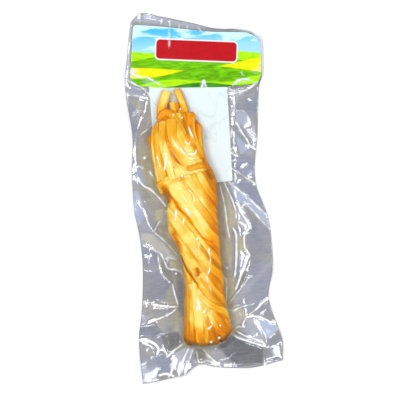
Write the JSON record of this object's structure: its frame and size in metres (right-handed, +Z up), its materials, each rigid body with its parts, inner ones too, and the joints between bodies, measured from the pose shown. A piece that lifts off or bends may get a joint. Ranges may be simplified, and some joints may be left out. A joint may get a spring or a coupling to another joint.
{
  "type": "vacuum-packed braided string cheese",
  "caption": "Smoked string cheese twisted into a hank, sealed in a clear vacuum pouch with a printed header card and a plain white back label.",
  "frame": {"origin": "middle of the bounding box at the pack's underside", "axes": "+Z up out of the shown side, +Y towards the pack's top with the header card, +X to the right"},
  "size_m": [0.1158, 0.2997, 0.0296],
  "materials": {
    "film": "clear glossy vacuum film, finely creased",
    "cheese": "satin smoked cheese strands, golden yellow to amber",
    "card": "glossy printed card",
    "label": "smooth white paper"
  },
  "bodies": {
    "root": {"pouch": "film", "cheese": "cheese", "header_card": "card", "back_label": "label"}
  },
  "joints": []
}
